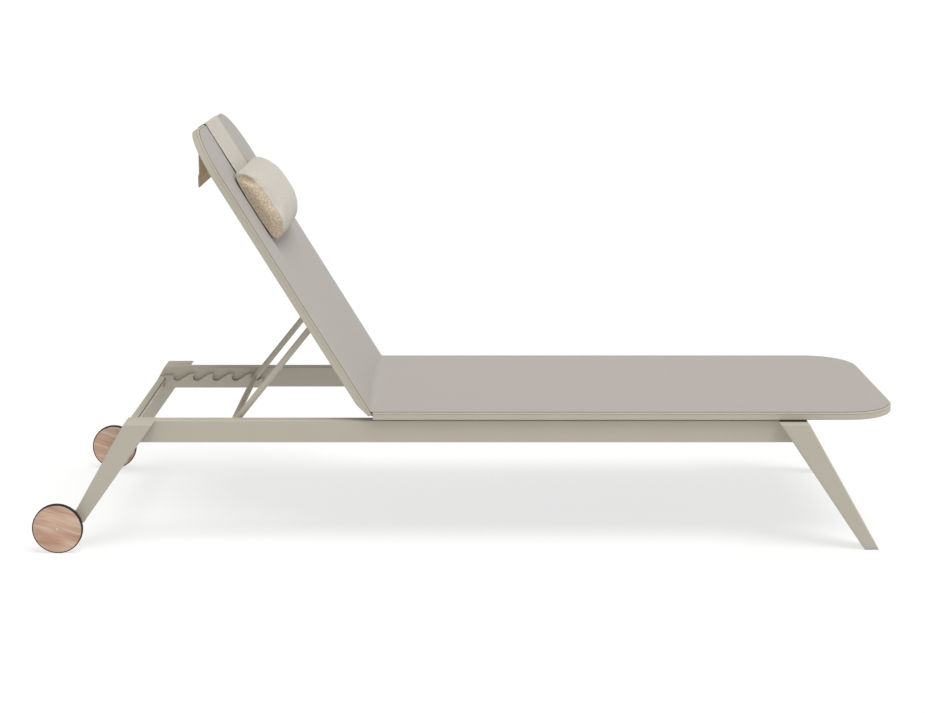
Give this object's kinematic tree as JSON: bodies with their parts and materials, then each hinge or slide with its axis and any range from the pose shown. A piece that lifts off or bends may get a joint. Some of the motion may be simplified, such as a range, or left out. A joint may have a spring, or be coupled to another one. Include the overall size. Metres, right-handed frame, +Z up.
{
  "type": "reclining sun lounger",
  "caption": "Low reclining sun lounger with a sling deck, ratchet prop under the backrest, adjustable bolster headrest, splayed legs and wheels at the head end.",
  "frame": {"origin": "on the ground under the middle of the lounger's bounding box, backrest at its highest setting", "axes": "+X to the foot end, +Y to the left of a person lying on it face up with the head at -X, +Z up"},
  "size_m": [2.066, 0.7748, 0.9956],
  "materials": {
    "frame": "satin",
    "sling": "matte",
    "spline": "matte",
    "pillow": "matte",
    "strap": "matte",
    "strap_back": "matte",
    "teak": "satin",
    "tyre": "matte",
    "rubber": "matte",
    "glide": "matte",
    "nylon": "matte",
    "hub_cap": "matte",
    "steel": "satin"
  },
  "bodies": {
    "base": {"side_rail_left": "frame", "side_rail_right": "frame", "head_leg_left": "frame", "head_leg_right": "frame", "foot_leg_left": "frame", "foot_leg_right": "frame", "foot_glide_left": "glide", "foot_glide_right": "glide", "ratchet_rack_left": "frame", "ratchet_rack_right": "frame", "frame_rest_left": "rubber", "frame_rest_right": "rubber", "hinge_plate_left": "frame", "hinge_plate_right": "frame", "hinge_pin_left": "steel", "hinge_pin_right": "steel", "axle_bolt_left": "steel", "axle_bolt_right": "steel", "axle_nut_left": "steel", "axle_nut_right": "steel", "axle_washer_left": "steel", "axle_washer_right": "steel", "head_cross_bar": "frame", "foot_cross_bar": "frame", "mid_cross_bar_head": "frame", "mid_cross_bar_middle": "frame", "mid_cross_bar_foot": "frame", "rack_rivets": "steel", "seat_frame": "frame", "seat_head_tube": "frame", "seat_sling": "sling", "seat_spline": "spline", "seat_spacers": "rubber", "seat_screws": "steel"},
    "backrest": {"back_frame": "frame", "back_lower_tube": "frame", "back_sling": "sling", "back_spline": "spline", "headrest_strap": "strap", "prop_boss_left": "frame", "prop_boss_right": "frame", "prop_pin_left": "steel", "prop_pin_right": "steel"},
    "prop": {"prop_arm_left": "frame", "prop_arm_right": "frame", "prop_cross_bar": "frame"},
    "headrest": {"headrest_pillow": "pillow"},
    "strap_end": {"strap_drop": "strap"},
    "counterweight": {"weight_pocket": "strap_back", "pocket_weight": "steel"},
    "wheel_left": {"wheel_disc_left": "teak", "wheel_tyre_left": "tyre", "wheel_bush_left": "nylon", "hub_cap_left": "hub_cap"},
    "wheel_right": {"wheel_disc_right": "teak", "wheel_tyre_right": "tyre", "wheel_bush_right": "nylon", "hub_cap_right": "hub_cap"}
  },
  "joints": [
    {"name": "recline", "type": "hinge", "parent": "base", "child": "backrest", "pos_m": [-0.232, 0, 0.325], "axis": [0, -1, 0], "range_deg": [0, 58.7]},
    {"name": "prop_swing", "type": "hinge", "parent": "backrest", "child": "prop", "pos_m": [-0.36417, 0, 0.53371], "axis": [0, 1, 0], "range_deg": [0, 105.2]},
    {"name": "headrest_slide", "type": "slide", "parent": "backrest", "child": "headrest", "axis": [0.5195, 0, -0.8545], "range_m": [0, 0.1]},
    {"name": "strap_hang", "type": "hinge", "parent": "backrest", "child": "strap_end", "pos_m": [-0.64888, 0, 0.98331], "axis": [0, 1, 0], "range_deg": [0, 58.8]},
    {"name": "counterweight_lift", "type": "slide", "parent": "strap_end", "child": "counterweight", "axis": [0, 0, 1], "range_m": [0, 0.1]},
    {"name": "wheel_left_spin", "type": "hinge", "parent": "base", "child": "wheel_left", "pos_m": [-0.973, 0.3757, 0.06], "axis": [0, 1, 0], "continuous": true},
    {"name": "wheel_right_spin", "type": "hinge", "parent": "base", "child": "wheel_right", "pos_m": [-0.973, -0.3757, 0.06], "axis": [0, 1, 0], "continuous": true}
  ],
  "couplings": [
    {"joint": "prop_swing", "follows": "recline", "ratio": 1.7904},
    {"joint": "strap_hang", "follows": "recline", "ratio": 1},
    {"joint": "counterweight_lift", "follows": "headrest_slide", "ratio": 1}
  ]
}
